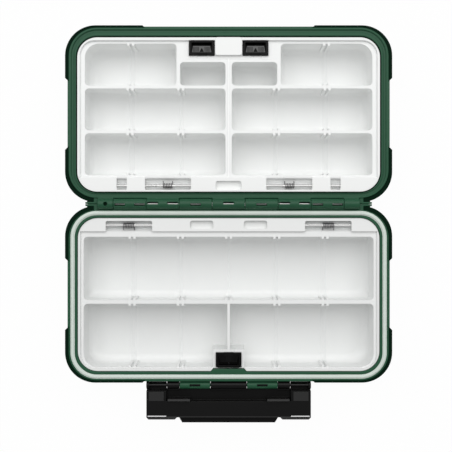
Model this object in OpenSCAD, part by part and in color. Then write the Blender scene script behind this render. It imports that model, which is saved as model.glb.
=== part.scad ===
// Two-sided waterproof lure box, lying open flat.
// Two shells turn on a pinned hinge. Each holds a tray under clear hinged covers, and a wide
// latch on the base's front closes the box.
// Both halves are drawn in one half frame: X along the hinge, Y away from the hinge axis, Z up.
// The lid keeps that frame, and the base is its mirror image in Y.

/* [Case] */
// Width of each half across its rim
case_w = 208.9; // [200:0.1:230]
// Hinge axis to the far edge of the rim
case_reach = 115; // [108:0.1:130]
// Height of one half, from its resting face to the hinge axis
half_h = 29.5; // [28:0.1:34]
// Drop of each rim below the hinge axis
rim_drop = 0.1; // [0.05:0.01:0.3]
// Hinge axis to the near edge of the rim
rim_start = 3.9; // [3.8:0.1:4.4]
// Corner radius of the rim
corner_r = 19; // [16:0.5:24]
// Height of the thick rim flange
flange_h = 5; // [4.5:0.1:6]
// Step from the rim in to the wall below it
wall_inset = 1.9; // [1.5:0.1:2]
// Thickness of the side walls
wall_t = 1.9; // [1.5:0.1:1.9]
// Thickness of the shell's outer face
floor_t = 2.5; // [2:0.1:3]
// Rounding between the walls and the outer face
bottom_r = 4; // [2:0.5:5]
// Distance from the wall to the trim groove on the outer face
trim_inset = 14; // [10:1:20]
// Width of the trim groove
trim_w = 2; // [1:0.5:4]
// Depth of the trim groove
trim_depth = 0.8; // [0.4:0.1:1.2]

/* [Corner guards] */
// How far the guards stand out past the rim's sides
guard_out_side = 1.75; // [1:0.05:3]
// How far the guards stand out past the rim's far edge
guard_out_far = 1; // [0.5:0.05:2]
// Gap between a guard and the hinge axis
guard_axis_gap = 1.3; // [1:0.1:2]
// Part of the guard's width that is let into the rim
guard_rebate = 0.7; // [0.4:0.1:1]
// Step from the rim down to the guard's top
guard_step = 0.6; // [0.4:0.1:2]
// Height of the guard's lower end above the resting face
guard_lift = 3; // [1:0.5:6]
// Length of a far guard along the side, from the far edge
guard_side_len = 36.6; // [28:0.1:45]
// Length of a far guard along the far edge, from the side
guard_far_len = 52; // [40:0.1:52.5]
// Hinge axis to the end of a hinge-side guard along the side
guard_hinge_len = 37.6; // [30:0.1:45]
// Rim's side edge to where a hinge-side guard starts
guard_hinge_in = 16.95; // [15:0.05:18]
// Rim's side edge to the outer end of the stops that meet when the box is open
stop_in = 11.45; // [11:0.05:13]
// Bottom of the stops, and the height up to which they reach the wall behind the guards
stop_z = [8, 22]; // [6:0.5:24]
// Slope of the guards' slanted ends, as a length
guard_slant = 12; // [8:1:14]
// Gap between a stop and the hinge plane
stop_gap = 0.15; // [0.1:0.05:0.3]

/* [Seal] */
// Rim's side edge to the seal
seal_in_side = 1.85; // [1.6:0.05:2]
// Rim's far edge to the seal
seal_in_far = 1.6; // [1.5:0.05:2]
// Rim's near edge to the seal
seal_in_near = 0.6; // [0.5:0.05:0.8]
// Width of the seal
seal_w = 2.8; // [2:0.1:2.9]
// Depth of the seal's groove
seal_depth = 3; // [2:0.1:3.5]
// How far the seal stands above the rim
seal_proud = 0.6; // [0.3:0.1:0.7]
// Width of the seal's bead
seal_bead_w = 1.8; // [1:0.1:2]
// Depth of the groove in the lid that the seal presses into
seal_relief = 0.7; // [0.6:0.1:0.9]
// Side clearance of the seal in its grooves
seal_play = 0.05; // [0.05:0.05:0.15]

/* [Case hinge] */
// Outer radius of the hinge knuckles
knuckle_r = 3.4; // [3:0.1:3.5]
// Radius of the steel hinge pin
hinge_pin_r = 1; // [0.8:0.1:1.2]
// Running clearance round every pin
pin_play = 0.05; // [0.03:0.01:0.08]
// Width of one knuckle and its gap
knuckle_pitch = 21.3; // [20:0.1:21.5]
// Number of whole knuckles
knuckle_count = 7; // [7:2:7]
// Rim's side edge to the end of the hinge
hinge_end_in = 19.85; // [19:0.05:22]
// Gap between the hinge axis and the cradles under the knuckles
cradle_gap = 1.2; // [0.8:0.1:2]
// How far a pin's end lies inside its bore
pin_end_in = 0.5; // [0.2:0.1:1]
// Gap between neighbouring knuckles
knuckle_gap = 0.3; // [0.2:0.05:0.5]
// Length of the slots that show the pin
pin_slot_l = 6.8; // [4:0.1:8]
// Distance from a knuckle's end to its slot
pin_slot_end = 0.7; // [0.5:0.1:1.5]
// Width of the slots that show the pin
pin_slot_w = 1.5; // [1:0.1:1.6]
// Sideways shift of the slots from the hinge axis
pin_slot_shift = 0.5; // [0:0.1:0.6]
// Radius of the hole in the left end knuckle
end_hole_r = 1.3; // [1:0.1:1.5]
// Hinge's end to the end of its pin, which stops short of the hole
hinge_pin_in = 6.9; // [6.5:0.1:8]

/* [Main latch] */
// Rim's far edge to the latch pin
latch_pin_out = 2.9; // [2.9:0.05:3.2]
// Hinge axis down to the latch pin
latch_pin_drop = 3.5; // [3.4:0.1:3.8]
// Radius of the latch pin
latch_pin_r = 1; // [0.8:0.1:1.2]
// Outer radius of the latch's knuckles
latch_knuckle_r = 2.5; // [2.2:0.1:2.5]
// Inner and outer place of the base's latch knuckles
base_knuckle_x = [12, 31.8]; // [10:0.1:32]
// Distance from the centre to the outer end of the latch's side knuckles
side_knuckle_end = 40; // [38:0.1:41]
// Width of the latch
latch_w = 107; // [106:0.5:108]
// Clearance beside the base's latch knuckles
latch_play = 0.25; // [0.15:0.05:0.4]
// Latch pin to the end of the latch's plate
plate_reach = 19.9; // [19:0.1:21]
// Latch pin to the end of the finger tab
tab_reach = 25.2; // [24:0.1:27]
// Width of the finger tab
tab_w = 66; // [50:0.5:68]
// Latch pin to the end of the raised lips beside the tab
lip_reach = 22.3; // [21.6:0.1:23]
// Thickness of the lips
lip_t = 1.2; // [0.8:0.1:1.5]
// Cut-off corners of the lips and the tab
lip_cut = 1.3; // [0.5:0.1:2]
// Width of the notches between the tab and the lips
notch_w = 0.6; // [0.4:0.1:3]
// Depth of the notches, from the lips' ends
notch_d = 1.4; // [0.6:0.1:1.6]
// Gap between a side knuckle and the block beside it
end_block_gap = 0.6; // [0.4:0.1:1]
// How far the skin runs in behind the latch pin at the latch's ends
skin_back = 1.5; // [1:0.1:2]
// Thickness of the ears at the ends of the latch pin
ear_t = 1.6; // [1.2:0.1:2]
// Clearance between the hooks and the lid's flange
hook_play = 0.1; // [0.05:0.05:0.2]
// Clearance between the hooks' tips and the lid's wall
hook_gap = 0.2; // [0.1:0.05:0.4]
// Thickness of the hooks along the latch
hook_t = 1.8; // [1.4:0.1:2.2]
// Inner and outer place of the hooks
hook_x = [25, 39.5]; // [20:0.5:40]
// Height of the plate's top above the latch pin
plate_rise = 1.6; // [1:0.1:1.8]
// Depth of the latch's underside below the pin
skin_drop = 4.4; // [4.2:0.1:5]
// Thickness of the latch's outer skin
skin_t = 1.4; // [1.2:0.1:1.5]
// Thickness of the knuckles' necks
neck_t = 1; // [0.8:0.1:1.4]
// Width of the slits between the plate and the lips
slit_w = 0.7; // [0.4:0.1:1]
// Width of the grip pads at the latch's ends
pad_size = 9.9; // [7:0.1:10]
// Latch pin to the grip pads
pad_start = 4.4; // [3.6:0.1:5]
// Gap between the grip pads and the edge of the block under them
pad_edge = 0.8; // [0.4:0.1:1]
// Length of the grip pads
pad_l = 5.8; // [4:0.1:8]
// Height of the grip pads
pad_h = 0.5; // [0.3:0.1:0.8]

/* [Trays] */
// Clearance between the base's tray and the rim
tray_gap = 0.25; // [0.15:0.05:0.4]
// Clearance between the lid's tray and the rim
lid_tray_gap = 0.75; // [0.4:0.05:0.9]
// Width of the lid's rim at the sides
lid_rim_side = 5.4; // [5:0.1:6]
// Width of the lid's rim at its far edge
lid_rim_far = 6.05; // [5.5:0.05:6.5]
// Width of the lid's rim beside the hinge
lid_rim_near = 3.35; // [3.3:0.05:3.9]
// Width of the base's rim at the sides
base_rim_side = 6.3; // [6:0.1:6.8]
// Width of the base's rim at its far edge
base_rim_far = 6.25; // [6:0.05:6.8]
// Width of the base's rim beside the hinge
base_rim_near = 4.95; // [4.6:0.05:5.4]
// Corner radius of the trays
tray_r = 13; // [10:0.5:15]
// Step from the rim down to the tray's border
border_drop = 0.7; // [0.5:0.1:1]
// Thickness of the tray's floor
tray_floor = 1.5; // [1:0.1:2]
// Height of the tray's outer lip
tray_lip_h = 3.2; // [2.5:0.1:3.5]
// Thickness of the tray's outer walls below the lip
tray_wall = 1.8; // [1.2:0.1:2]
// Depth of the slots in the hinge strips
slot_depth = 3; // [2:0.1:4]
// Clearance under the covers' hinge barrels
well_gap = 0.8; // [0.6:0.1:1.2]
// Thickness left between the windows' wells and the compartments' wall
well_wall = 0.5; // [0.4:0.05:0.7]
// Rounding of the compartments' corners
pocket_r = 2.5; // [1:0.5:4]
// Rounding of the compartments' outermost corners
pocket_outer_r = 9; // [6:0.5:11]

/* [Lid layout] */
// Tray's side edge to the lid's compartments
lid_border_side = 4.8; // [4.4:0.1:6]
// Tray's far edge to the lid's compartments
lid_border_far = 3.9; // [3.5:0.1:5]
// Width of the lid's hinge strip
lid_strip_w = 9.2; // [9:0.1:10]
// Wall between the lid's hinge strip and its compartments
lid_strip_wall = 1.6; // [1.2:0.1:2]
// Thickness of the walls between the lid's rows
lid_row_wall = 2; // [1.6:0.1:2.4]
// Thickness of the wall between the lid's left and right banks
lid_centre_wall = 4.2; // [3.6:0.1:5]
// Distance from the centre to the small compartments' outer wall
lid_small_w = 31.6; // [31.2:0.1:33]
// Thickness of that wall
lid_small_wall = 2.4; // [1.8:0.1:2.8]
// Depth of the small compartments, away from the hinge
lid_small_d = 15.2; // [13:0.1:15.4]
// Inner and outer divider place in the lid's full rows
lid_divider_x = [31.2, 64.2]; // [28:0.1:68]

/* [Base layout] */
// Tray's side edge to the base's compartments
base_border_side = 3.6; // [3.4:0.1:5]
// Tray's far edge to the base's compartments
base_border_far = 2.3; // [2.2:0.1:4]
// Width of the base's hinge strip
base_strip_w = 8.8; // [8.6:0.1:9.6]
// Wall between the base's hinge strip and its compartments
base_strip_wall = 3.5; // [2:0.1:4]
// Thickness of the wall between the base's rows
base_row_wall = 2.4; // [1.8:0.1:2.8]
// Number of columns in the base
base_columns = 6; // [6:2:6]
// Thickness of the fixed wall in the base's far row
base_fixed_wall = 1.8; // [1.4:0.1:2.4]

/* [Dividers] */
// Thickness of a divider
divider_t = 1.2; // [1:0.1:1.4]
// Clearance of a divider in its slot
divider_play = 0.15; // [0.1:0.05:0.25]
// Width of a slot rib
rib_w = 1.6; // [1.2:0.1:2]
// How far a slot rib stands out of the wall
rib_out = 1.3; // [0.8:0.1:1.8]
// Step from the tray's walls down to the dividers' tops
divider_drop = 0.3; // [0.2:0.1:1]

/* [Inner covers] */
// Thickness of the clear covers
cover_t = 1.4; // [1.2:0.1:1.6]
// Gap between a cover and the tray walls under it
cover_seat = 0.1; // [0.1:0.05:0.2]
// Gap around a cover's edge
cover_gap = 0.5; // [0.45:0.05:0.6]
// Width of the lid tray's border beside the covers
lid_cover_border = 2.2; // [1.8:0.1:2.4]
// Width of the lid tray's border beyond the covers
lid_cover_far = 2.5; // [2:0.1:3]
// Width of the base tray's border beside the cover
base_cover_border = 2; // [1.8:0.1:2.4]
// Width of the base tray's border beyond the cover
base_cover_far = 2.2; // [2:0.1:2.4]
// Corner radius of the covers
cover_r = 9; // [7:0.5:11]
// Gap between the lid's two covers
cover_split = 1.2; // [0.8:0.1:1.6]
// Distance from the centre to the step in the lid's covers
cover_step_x = 27.5; // [27:0.1:29]

/* [Cover hinges] */
// Radius of the cover pins
cover_pin_r = 1; // [0.8:0.1:1]
// Outer radius of the covers' hinge barrels
barrel_r = 2.2; // [2:0.1:2.3]
// Tray's near edge to the lid's cover pins
lid_pin_in = 3.9; // [3.8:0.1:4.4]
// Tray's near edge to the base's cover pins
base_pin_in = 4.8; // [4.4:0.1:5]
// Gap between a window's back edge and the pin
window_back = 2.8; // [2.8:0.1:3]
// Corner radius of the windows
window_r = 1; // [0.6:0.1:1.4]
// Corner radius of the ledges' slots
slot_r = 1.5; // [1:0.1:2]
// Inner and outer place of the lid's large windows
lid_window_x = [24.5, 54.3]; // [23:0.1:56]
// Tray's side edge to the inner and outer end of the lid's small windows
lid_small_window_in = [32.1, 25.6]; // [23:0.1:34]
// Tray's side edge to the inner and outer end of the base's windows
base_window_in = [48.2, 18.1]; // [17:0.1:50]
// Clearance between a barrel's end and its window
barrel_play = 0.5; // [0.3:0.1:0.8]
// Length of a cover pin's bearing beside its outermost windows
bearing_l = 3; // [2:0.1:4]
// Half width, near and far edge of the lid ledge's middle slot
lid_slot = [8.3, 1.3, 6.9]; // [1:0.1:9]
// Inner edge, outer edge, near edge and far edge of the base ledge's slots
base_slot = [10, 25, 1.8, 7.1]; // [1:0.1:26]

/* [Torsion springs] */
// Wire radius
wire_r = 0.3; // [0.25:0.05:0.35]
// Radius of the coil at the middle of the wire
coil_r = 1.5; // [1.45:0.05:1.6]
// Rise of one curl along the pin
curl_pitch = 1.05; // [1.03:0.01:1.2]
// Curls of a lid spring
lid_curls = 5; // [4:1:6]
// Curls of a base spring
base_curls = 6; // [5:1:7]
// Length of a spring's legs
leg_l = 3.1; // [2:0.1:3.2]
// Gap between a spring's wire and the barrels beside it
spring_gap = 0.8; // [0.5:0.1:1.2]

/* [Inner latches] */
// Width of a latch housing
box_w = 16.5; // [15:0.1:18]
// Depth of a latch housing, away from the hinge
box_d = 9.7; // [9.4:0.1:10]
// Height of a latch housing
box_h = 6.9; // [6.5:0.1:7.2]
// Cut-off corners of a latch housing
box_chamfer = 1.5; // [1:0.1:2]
// Wall of a latch housing
box_wall = 1.5; // [1.2:0.1:1.8]
// Clearance of a housing in its pocket
box_play = 0.1; // [0.05:0.05:0.2]
// Lid tray's far edge to the latch housings
box_in = 1.9; // [1.6:0.1:2.2]
// Distance from the centre to the middle of the lid's latches
lid_latch_x = 17.5; // [17:0.1:18]
// Width of a slider
slider_w = 12.9; // [11:0.1:13]
// Narrowing of a slider's pad on each side
slider_taper = 0.9; // [0.4:0.1:1.4]
// Thickness of a slider's pad
pad_t = 2.3; // [2:0.1:2.6]
// Step from the housing's top down to the pad
pad_drop = 0.5; // [0.3:0.1:0.8]
// Depth of a slider's foot, away from the hinge
foot_d = 1.8; // [1.4:0.1:2]
// Running clearance of a slider
slider_play = 0.1; // [0.05:0.05:0.15]
// Travel of a slider
slider_travel = 2; // [1.5:0.1:2.2]
// Grip grooves on each side of a slider's arrow
grip_count = 5; // [3:1:5]
// Distance from a slider's middle to its first groove
grip_start = 2; // [1.8:0.1:2.4]
// Distance between grip grooves
grip_pitch = 0.8; // [0.7:0.05:0.85]
// Width of a grip groove
grip_w = 0.3; // [0.2:0.05:0.4]
// Depth of the grip grooves and the arrow
grip_depth = 0.3; // [0.2:0.05:0.5]
// Distance of the grooves and the arrow from the pad's edges
grip_in = 0.6; // [0.4:0.1:0.9]
// Width of the arrow
arrow_w = 3; // [2:0.1:3.2]
// Length of the arrow
arrow_l = 2.6; // [2:0.1:2.8]
// Width of a slider's tongue
tongue_w = 6; // [4:0.1:7]
// Thickness of a slider's tongue
tongue_t = 0.9; // [0.7:0.1:1.2]
// How far the tongue stands out of the housing
tongue_out = 0.3; // [0.2:0.05:0.35]
// Gap beside a latch housing in the covers' edges
keeper_side_gap = 1.2; // [0.8:0.1:1.6]
// Gap between the tongue and the cover's keeper
keeper_gap = 0.1; // [0.05:0.05:0.15]
// Width of a keeper tab
keeper_w = 8; // [7:0.1:9]
// Width of the keeper's slot
keeper_slot_w = 6.4; // [5:0.1:7]
// Length of the keeper's slot, away from the hinge
keeper_slot_d = 1; // [0.8:0.1:1.2]
// Bar left between the slot and the keeper's end
keeper_bar = 0.7; // [0.6:0.1:1]
// Latch housing to the edge of the cover beside the keeper
keeper_depth = 2.3; // [2.2:0.1:2.6]
// Radius of a slider's return spring
return_coil_r = 0.7; // [0.6:0.05:0.8]
// Curls of a return spring
return_curls = 5; // [4:1:6]
// Gap between a return spring's ends and their seats
return_gap = 0.05; // [0.03:0.01:0.1]
// Wire radius of a return spring
return_wire_r = 0.15; // [0.12:0.01:0.2]
// Half width of the white block between the lid's latches
block_half_w = 8.75; // [8:0.05:8.9]
// Corner radius of that block
block_r = 1.5; // [1:0.1:2]
// Step from that block's top down from the rim
block_drop = 0.2; // [0.15:0.05:0.5]
// Half width of the swelling in the base's rim behind its latch
bump_half_w = 9.9; // [9:0.1:11]
// How far the swelling stands in from the rim
bump_in = 1.7; // [1.2:0.1:1.8]

/* [Hidden] */
$fn = 48;
eps = 0.01;
big = 400;
// Length that a piece's parts run into each other
overlap = 1;

green = [0.17, 0.34, 0.25];
dark_green = [0.03, 0.08, 0.05];
white = [0.88, 0.89, 0.88];
clear = [0.85, 0.9, 0.9, 0.4];
black = [0.05, 0.05, 0.05];
grey = [0.3, 0.3, 0.3];
steel = [0.7, 0.7, 0.7];
pale = [0.83, 0.88, 0.83];

// Case outlines and heights
half_w = case_w / 2;
rim_z = half_h - rim_drop;
flange_z = rim_z - flange_h;
wall_r = corner_r - wall_inset;
inner_r = wall_r - wall_t;
latch_y = case_reach + latch_pin_out;
latch_z = half_h - latch_pin_drop;
latch_clear = latch_knuckle_r + 2 * latch_play;
hook_reach = latch_pin_drop + rim_drop + flange_h + hook_play;
hook_rise = latch_pin_out + wall_inset - hook_gap;
front_reach = latch_y + tab_reach;
axis_y = (front_reach - case_reach - guard_out_far) / 2;

// Places along the hinge
hinge_end = half_w - hinge_end_in;
guard_hinge_x = half_w - guard_hinge_in;
stop_x0 = hinge_end + knuckle_gap;
stop_x1 = half_w - stop_in;

// Tray outlines: side, near and far edges
lid_side = half_w - lid_rim_side - lid_tray_gap;
lid_near = rim_start + lid_rim_near + lid_tray_gap;
lid_far = case_reach - lid_rim_far - lid_tray_gap;
base_side = half_w - base_rim_side - tray_gap;
base_near = rim_start + base_rim_near + tray_gap;
base_far = case_reach - base_rim_far - tray_gap;

// Tray heights
border_z = rim_z - border_drop;
cover_z = border_z - cover_t;
tray_z = cover_z - cover_seat;
pocket_z = floor_t + tray_floor;
divider_z = tray_z - divider_drop;
pin_z = border_z - barrel_r;
well_z = pin_z - barrel_r - well_gap;

// Compartments of the lid
lid_x = lid_side - lid_border_side;
lid_y0 = lid_near + lid_strip_w + lid_strip_wall;
lid_y1 = lid_far - lid_border_far;
lid_rows = 3;
lid_row_d = (lid_y1 - lid_y0 - (lid_rows - 1) * lid_row_wall) / lid_rows;
lid_centre_x = lid_centre_wall / 2;
lid_big_x = lid_small_w + lid_small_wall;
function lid_row_y(row) = lid_y0 + row * (lid_row_d + lid_row_wall);

// Compartments of the base
base_x = base_side - base_border_side;
base_y0 = base_near + base_strip_w + base_strip_wall;
base_y1 = base_far - base_border_far;
base_rows = 2;
base_row_d = (base_y1 - base_y0 - base_row_wall) / base_rows;
base_column_w = 2 * base_x / base_columns;
function base_row_y(row) = base_y0 + row * (base_row_d + base_row_wall);

// Covers
lid_pin_y = lid_near + lid_pin_in;
base_pin_y = base_near + base_pin_in;
lid_cover_y0 = lid_near + lid_strip_w;
base_cover_y0 = base_near + base_strip_w;
lid_cover_y1 = lid_far - lid_cover_far;
base_cover_y1 = base_far - base_cover_far;
lid_cover_x = lid_side - lid_cover_border;
base_cover_x = base_side - base_cover_border;
lid_small_window_x = [lid_side - lid_small_window_in[0], lid_side - lid_small_window_in[1]];
base_window_x = [base_side - base_window_in[0], base_side - base_window_in[1]];
lid_pin_x0 = lid_window_x[0] - bearing_l;
lid_pin_x1 = lid_small_window_x[1] + bearing_l;
base_pin_x0 = base_window_x[0] - bearing_l;
base_pin_x1 = base_window_x[1] + bearing_l;
lid_spring_x = (lid_window_x[0] + lid_window_x[1]) / 2;
base_spring_x = (base_window_x[0] + base_window_x[1]) / 2;

// Inner latches
box_y = lid_far - box_in - box_d;
box_top = border_z + eps;
box_floor = box_top - box_h;
box_end = box_y + box_d;
tongue_y = box_y - tongue_out;
keeper_y = tongue_y - keeper_gap;
cover_cut_y = box_y - keeper_depth;
pad_y = box_y + box_wall + slider_play;
pad_d = box_d - 2 * box_wall - 2 * slider_play - slider_travel;
pad_top = box_top - pad_drop;
spring_z = box_floor + box_wall + return_coil_r + return_wire_r + slider_play;
foot_end = pad_y + foot_d;
box_inner_end = box_end - box_wall;
pocket_floor_z = box_floor - box_play;

// ---------- frames ----------

module in_lid() {
    translate([0, axis_y, 0]) children();
}

module in_base() {
    translate([0, axis_y, 0]) mirror([0, 1, 0]) children();
}

module both_sides() {
    children();
    mirror([1, 0, 0]) children();
}

// ---------- flat shapes ----------

// A rounded rectangle, symmetric in X, from near edge y0 to far edge y1
module outline(w, y0, y1, r) {
    translate([-w + r, y0]) square([2 * (w - r), y1 - y0]);
    translate([-w, y0 + r]) square([2 * w, y1 - y0 - 2 * r]);
    for (x = [-w + r, w - r], y = [y0 + r, y1 - r]) translate([x, y]) circle(r = r);
}

module rim_outline() {
    outline(half_w, rim_start, case_reach, corner_r);
}

module wall_outline(inset = 0) {
    outline(half_w - wall_inset - inset, rim_start + wall_inset + inset,
            case_reach - wall_inset - inset, wall_r - inset);
}

module inner_outline() {
    outline(half_w - wall_inset - wall_t, rim_start + wall_inset + wall_t,
            case_reach - wall_inset - wall_t, inner_r);
}

module seal_outline(inset) {
    outline(half_w - seal_in_side - inset, rim_start + seal_in_near + inset,
            case_reach - seal_in_far - inset, corner_r - seal_in_side - inset);
}

// The ring that the seal fills, grown by play and cut back to a narrower bead
module seal_ring(play = 0, narrow = 0) {
    difference() {
        seal_outline(narrow - play);
        seal_outline(seal_w - narrow + play);
    }
}

// A box with rounded upright corners
module pocket(x0, x1, y0, y1, z0, z1, r) {
    translate([0, 0, z0]) linear_extrude(z1 - z0) {
        translate([x0 + r, y0]) square([x1 - x0 - 2 * r, y1 - y0]);
        translate([x0, y0 + r]) square([x1 - x0, y1 - y0 - 2 * r]);
        for (x = [x0 + r, x1 - r], y = [y0 + r, y1 - r]) translate([x, y]) circle(r = r);
    }
}

module block(x0, x1, y0, y1, z0, z1) {
    translate([x0, y0, z0]) cube([x1 - x0, y1 - y0, z1 - z0]);
}

// Carries a flat profile round a rounded rectangle: X of the profile points outwards
module loop(w, y0, y1, r) {
    both_sides() translate([w, y1 - r, 0]) rotate([90, 0, 0]) linear_extrude(y1 - y0 - 2 * r) children();
    translate([r - w, y1, 0]) rotate([0, 0, 90]) rotate([90, 0, 0]) linear_extrude(2 * (w - r)) children();
    translate([w - r, y0, 0]) rotate([0, 0, -90]) rotate([90, 0, 0]) linear_extrude(2 * (w - r)) children();
    both_sides() {
        translate([w - r, y1 - r, 0]) rotate_extrude(angle = 90) translate([r, 0]) children();
        translate([w - r, y0 + r, 0]) rotate([0, 0, -90]) rotate_extrude(angle = 90) translate([r, 0]) children();
    }
}

// ---------- shells ----------

module bottom_edge_profile() {
    intersection() {
        translate([-bottom_r, 0]) square(bottom_r);
        translate([-bottom_r, bottom_r]) circle(r = bottom_r);
    }
}

// One half as a full solid, with its rounded outer edge
module shell_solid() {
    translate([0, 0, flange_z]) linear_extrude(flange_h) rim_outline();
    translate([0, 0, bottom_r]) linear_extrude(flange_z - bottom_r) wall_outline();
    linear_extrude(bottom_r) wall_outline(bottom_r);
    loop(half_w - wall_inset, rim_start + wall_inset, case_reach - wall_inset, wall_r)
        bottom_edge_profile();
}

module shell_cavity(side, near, far, gap) {
    translate([0, 0, floor_t]) linear_extrude(flange_z - floor_t) inner_outline();
    translate([0, 0, flange_z - eps]) linear_extrude(big)
        outline(side + gap, near - gap, far + gap, tray_r + gap);
}

module trim_groove() {
    translate([0, 0, -eps]) linear_extrude(trim_depth + eps) difference() {
        wall_outline(trim_inset);
        wall_outline(trim_inset + trim_w);
    }
}

// The corner zones that the guards cover, with slanted ends
module guard_zone() {
    far_x = half_w + guard_out_side - guard_far_len;
    side_y = case_reach + guard_out_far - guard_side_len;
    in_x = half_w - guard_rebate;
    in_y = case_reach - guard_rebate;
    both_sides() {
        polygon([[far_x, side_y], [far_x, in_y], [far_x + guard_slant, in_y + guard_slant],
                 [in_x + guard_slant, in_y + guard_slant], [in_x + guard_slant, side_y + guard_slant],
                 [in_x, side_y]]);
        polygon([[guard_hinge_x, 0], [in_x + guard_slant, 0], [in_x + guard_slant, guard_hinge_len - guard_slant],
                 [in_x, guard_hinge_len], [guard_hinge_x, guard_hinge_len]]);
    }
}

module guard_core() {
    outline(half_w - guard_rebate, rim_start, case_reach - guard_rebate, corner_r - guard_rebate);
}

module guard_outline() {
    outline(half_w + guard_out_side, guard_axis_gap, case_reach + guard_out_far, corner_r + guard_rebate);
}

// The rebate that the guards fill in the rim
module guard_seat() {
    translate([0, 0, flange_z - eps]) linear_extrude(big) difference() {
        guard_zone();
        guard_core();
    }
}

module guards() {
    difference() {
        translate([0, 0, guard_lift]) linear_extrude(rim_z - guard_step - guard_lift) intersection() {
            guard_outline();
            guard_zone();
        }
        translate([0, 0, flange_z]) linear_extrude(flange_h) guard_core();
        translate([0, 0, -eps]) linear_extrude(flange_z + eps) wall_outline();
        stop_blocks();
    }
}

// The blocks run on into the wall, and the shell's hollow ends them
module stop_blocks() {
    both_sides() block(stop_x0, stop_x1, stop_gap, corner_r, stop_z[0], stop_z[1]);
}

// Above the blocks, the stops fill the end of the hinge and the gap between the guards
module stop_tops() {
    both_sides() {
        block(stop_x0, guard_hinge_x, stop_gap, rim_start + wall_inset, stop_z[1] - eps, rim_z - guard_step);
        block(guard_hinge_x - eps, stop_x1, stop_gap, guard_axis_gap, stop_z[1] - eps, rim_z - guard_step);
    }
}

// One half without its hollow
module shell_body() {
    difference() {
        shell_solid();
        guard_seat();
    }
    stop_blocks();
    stop_tops();
}

// ---------- case hinge ----------

// Knuckle places: whole knuckles count from the middle, and the ends are cut short
knuckle_last = (knuckle_count + 1) / 2;
function knuckle_low(k) = k == -knuckle_last ? -hinge_end : (k - 0.5) * knuckle_pitch + knuckle_gap / 2;
function knuckle_high(k) = k == knuckle_last ? hinge_end : (k + 0.5) * knuckle_pitch - knuckle_gap / 2;
function knuckles(odd) = [for (k = [-knuckle_last : knuckle_last]) if (abs(k) % 2 == odd) k];

module pin_slot(x0) {
    block(x0, x0 + pin_slot_l, pin_slot_shift - pin_slot_w / 2, pin_slot_shift + pin_slot_w / 2,
          half_h, half_h + knuckle_r + eps);
}

// Slots lie in the middle of the three middle knuckles, and at both ends of the others
function slot_starts(k) = let (x0 = knuckle_low(k), x1 = knuckle_high(k))
    abs(k) == knuckle_last ? [] :
    abs(k) < 2 ? [(x0 + x1 - pin_slot_l) / 2] :
    [x0 + pin_slot_end, x1 - pin_slot_end - pin_slot_l];

// Knuckles on a cradle that runs along the hinge, cut free round the other half's knuckles
module hinge_half(odd) {
    difference() {
        union() {
            for (k = knuckles(odd)) {
                x0 = knuckle_low(k);
                x1 = knuckle_high(k);
                translate([x0, 0, half_h]) rotate([0, 90, 0]) cylinder(r = knuckle_r, h = x1 - x0);
                block(x0, x1, 0, rim_start + eps, half_h - knuckle_r, rim_z);
            }
            block(-hinge_end, hinge_end, cradle_gap, rim_start + wall_inset, flange_z, rim_z);
        }
        for (k = knuckles(1 - odd)) translate([knuckle_low(k) - knuckle_gap, 0, half_h]) rotate([0, 90, 0])
            cylinder(r = knuckle_r + knuckle_gap, h = knuckle_high(k) - knuckle_low(k) + 2 * knuckle_gap);
    }
}

module hinge_cuts(odd) {
    translate([-hinge_end - eps, 0, half_h]) rotate([0, 90, 0])
        cylinder(r = hinge_pin_r + pin_play, h = 2 * (hinge_end + eps));
    for (k = knuckles(odd), x = slot_starts(k)) pin_slot(x);
}

module end_hole() {
    translate([-(hinge_end + knuckle_last * knuckle_pitch - knuckle_pitch / 2) / 2, 0, half_h])
        cylinder(r = end_hole_r, h = knuckle_r + eps);
}

module lid_shell() {
    color(green) in_lid() difference() {
        union() {
            shell_body();
            hinge_half(0);
        }
        shell_cavity(lid_side, lid_near, lid_far, lid_tray_gap);
        trim_groove();
        translate([0, 0, rim_z - seal_relief]) linear_extrude(big)
            seal_ring(play = seal_play, narrow = (seal_w - seal_bead_w) / 2);
        hinge_cuts(0);
        end_hole();
    }
}

// The rim swells inwards behind the base's latch
module bump(grow = 0) {
    w = bump_half_w + grow;
    edge = base_far + tray_gap + eps;
    polygon([[-w - bump_in, edge], [-w, base_far + tray_gap - bump_in - grow],
             [w, base_far + tray_gap - bump_in - grow], [w + bump_in, edge]]);
}

module base_shell() {
    color(green) in_base() difference() {
        union() {
            difference() {
                union() {
                    shell_body();
                    hinge_half(1);
                    latch_ears();
                }
                shell_cavity(base_side, base_near, base_far, tray_gap);
            }
            translate([0, 0, flange_z]) linear_extrude(flange_h) bump();
        }
        trim_groove();
        translate([0, 0, rim_z - seal_depth]) linear_extrude(big) seal_ring(play = seal_play);
        hinge_cuts(1);
        latch_bore(latch_w);
        ear_slots();
    }
}

module base_corner_guards() {
    color(dark_green) in_base() guards();
}

module lid_corner_guards() {
    color(dark_green) in_lid() guards();
}

module seal() {
    color(pale) in_base() {
        translate([0, 0, rim_z - seal_depth]) linear_extrude(seal_depth) seal_ring();
        translate([0, 0, rim_z]) linear_extrude(seal_proud) seal_ring(narrow = (seal_w - seal_bead_w) / 2);
    }
}

module hinge_pin() {
    color(steel) in_lid() translate([hinge_pin_in - hinge_end, 0, half_h]) rotate([0, 90, 0])
        cylinder(r = hinge_pin_r, h = 2 * (hinge_end - hinge_pin_in));
}

// ---------- main latch ----------

// Runs along the latch pin, in the half frame
module along_latch_pin(length, r) {
    translate([-length / 2, latch_y, latch_z]) rotate([0, 90, 0]) cylinder(r = r, h = length);
}

module latch_bore(length) {
    along_latch_pin(length, latch_pin_r + pin_play);
}

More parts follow.
